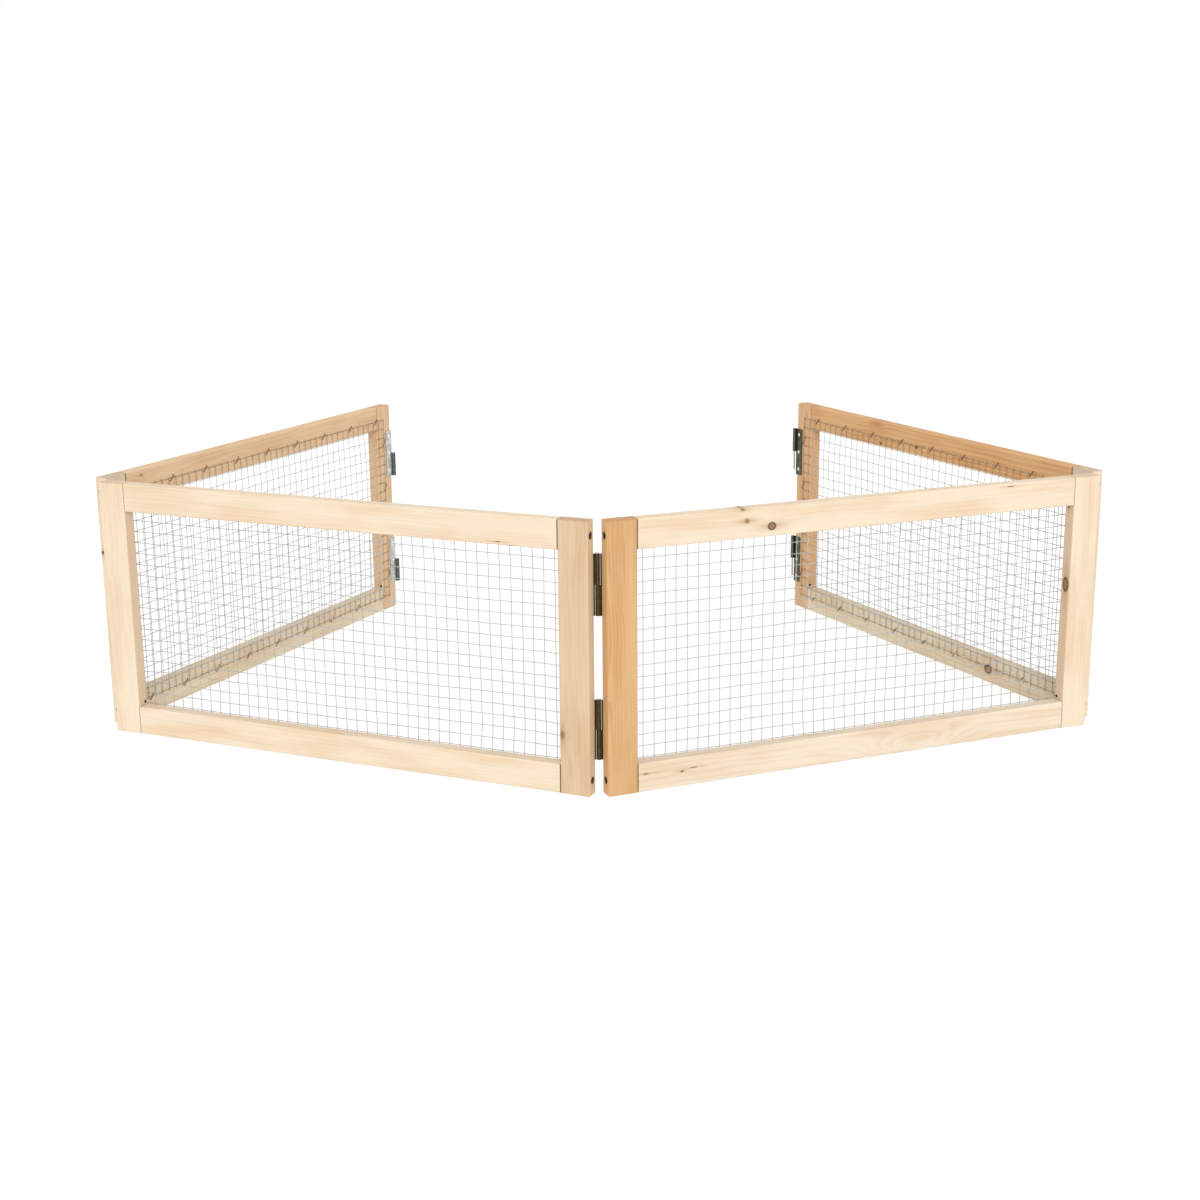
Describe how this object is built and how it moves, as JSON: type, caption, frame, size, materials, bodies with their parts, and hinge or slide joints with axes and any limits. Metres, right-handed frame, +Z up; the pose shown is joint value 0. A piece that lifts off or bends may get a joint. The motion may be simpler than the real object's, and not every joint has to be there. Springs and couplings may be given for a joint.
{
  "type": "small animal pen",
  "caption": "Folding small animal pen: framed wire mesh panels in a row, joined by lift-off hinges that swing and unhook, with bare pins and open sockets at the free ends.",
  "frame": {"origin": "on the floor, in the middle of the rectangle that the standing pen covers", "axes": "+Z up, +Y towards the open back of the pen, +X to the right as seen from the front, along its longest side"},
  "size_m": [1.1706, 0.8124, 0.3],
  "materials": {
    "pale_pine": "planed, unfinished",
    "warm_pine": "planed, unfinished",
    "galvanised_wire": "galvanised",
    "staple_wire": "drawn, slightly dull",
    "screw_steel": "zinc plated",
    "hinge_steel": "zinc plated, dull"
  },
  "bodies": {
    "left_rear": {"left_rear_free_stile": "pale_pine", "left_rear_free_lower_leaf": "hinge_steel", "left_rear_free_upper_leaf": "hinge_steel", "left_rear_corner_stile": "pale_pine", "left_rear_corner_lower_leaf": "hinge_steel", "left_rear_corner_upper_leaf": "hinge_steel", "left_rear_bottom_rail": "pale_pine", "left_rear_top_rail": "pale_pine", "left_rear_wire_mesh": "galvanised_wire", "left_rear_mesh_staples": "staple_wire", "left_rear_frame_screws": "screw_steel", "left_rear_hinge_screws": "screw_steel"},
    "left_front": {"left_front_corner_stile": "pale_pine", "left_front_corner_lower_leaf": "hinge_steel", "left_front_corner_upper_leaf": "hinge_steel", "left_front_centre_stile": "pale_pine", "left_front_centre_lower_leaf": "hinge_steel", "left_front_centre_upper_leaf": "hinge_steel", "left_front_bottom_rail": "pale_pine", "left_front_top_rail": "pale_pine", "left_front_wire_mesh": "galvanised_wire", "left_front_mesh_staples": "staple_wire", "left_front_frame_screws": "screw_steel", "left_front_hinge_screws": "screw_steel"},
    "right_front": {"right_front_centre_stile": "warm_pine", "right_front_centre_lower_leaf": "hinge_steel", "right_front_centre_upper_leaf": "hinge_steel", "right_front_corner_stile": "pale_pine", "right_front_corner_lower_leaf": "hinge_steel", "right_front_corner_upper_leaf": "hinge_steel", "right_front_bottom_rail": "pale_pine", "right_front_top_rail": "pale_pine", "right_front_wire_mesh": "galvanised_wire", "right_front_mesh_staples": "staple_wire", "right_front_frame_screws": "screw_steel", "right_front_hinge_screws": "screw_steel"},
    "right_rear": {"right_rear_corner_stile": "pale_pine", "right_rear_corner_lower_leaf": "hinge_steel", "right_rear_corner_upper_leaf": "hinge_steel", "right_rear_free_stile": "warm_pine", "right_rear_free_lower_leaf": "hinge_steel", "right_rear_free_upper_leaf": "hinge_steel", "right_rear_bottom_rail": "pale_pine", "right_rear_top_rail": "warm_pine", "right_rear_wire_mesh": "galvanised_wire", "right_rear_mesh_staples": "staple_wire", "right_rear_frame_screws": "screw_steel", "right_rear_hinge_screws": "screw_steel", "free_end_lower_pin": "hinge_steel", "free_end_upper_pin": "hinge_steel"},
    "left_corner_pins": {"left_corner_lower_pin": "hinge_steel", "left_corner_upper_pin": "hinge_steel"},
    "centre_pins": {"centre_lower_pin": "hinge_steel", "centre_upper_pin": "hinge_steel"},
    "right_corner_pins": {"right_corner_lower_pin": "hinge_steel", "right_corner_upper_pin": "hinge_steel"}
  },
  "joints": [
    {"name": "right_corner_lift", "type": "slide", "parent": "right_rear", "child": "right_corner_pins", "axis": [0, 0, 1], "range_m": [0, 0.03]},
    {"name": "right_corner_swing", "type": "hinge", "parent": "right_corner_pins", "child": "right_front", "pos_m": [0.57044, -0.16027, 0.0705], "axis": [0, 0, 1], "range_deg": [-82, 110]},
    {"name": "centre_lift", "type": "slide", "parent": "right_front", "child": "centre_pins", "axis": [0, 0, 1], "range_m": [0, 0.03]},
    {"name": "centre_swing", "type": "hinge", "parent": "centre_pins", "child": "left_front", "pos_m": [-0.00147, -0.39018, 0.0705], "axis": [0, 0, -1], "range_deg": [-60, 38]},
    {"name": "left_corner_lift", "type": "slide", "parent": "left_front", "child": "left_corner_pins", "axis": [0, 0, 1], "range_m": [0, 0.03]},
    {"name": "left_corner_swing", "type": "hinge", "parent": "left_corner_pins", "child": "left_rear", "pos_m": [-0.57012, -0.15231, 0.0705], "axis": [0, 0, 1], "range_deg": [-84, 108]}
  ]
}
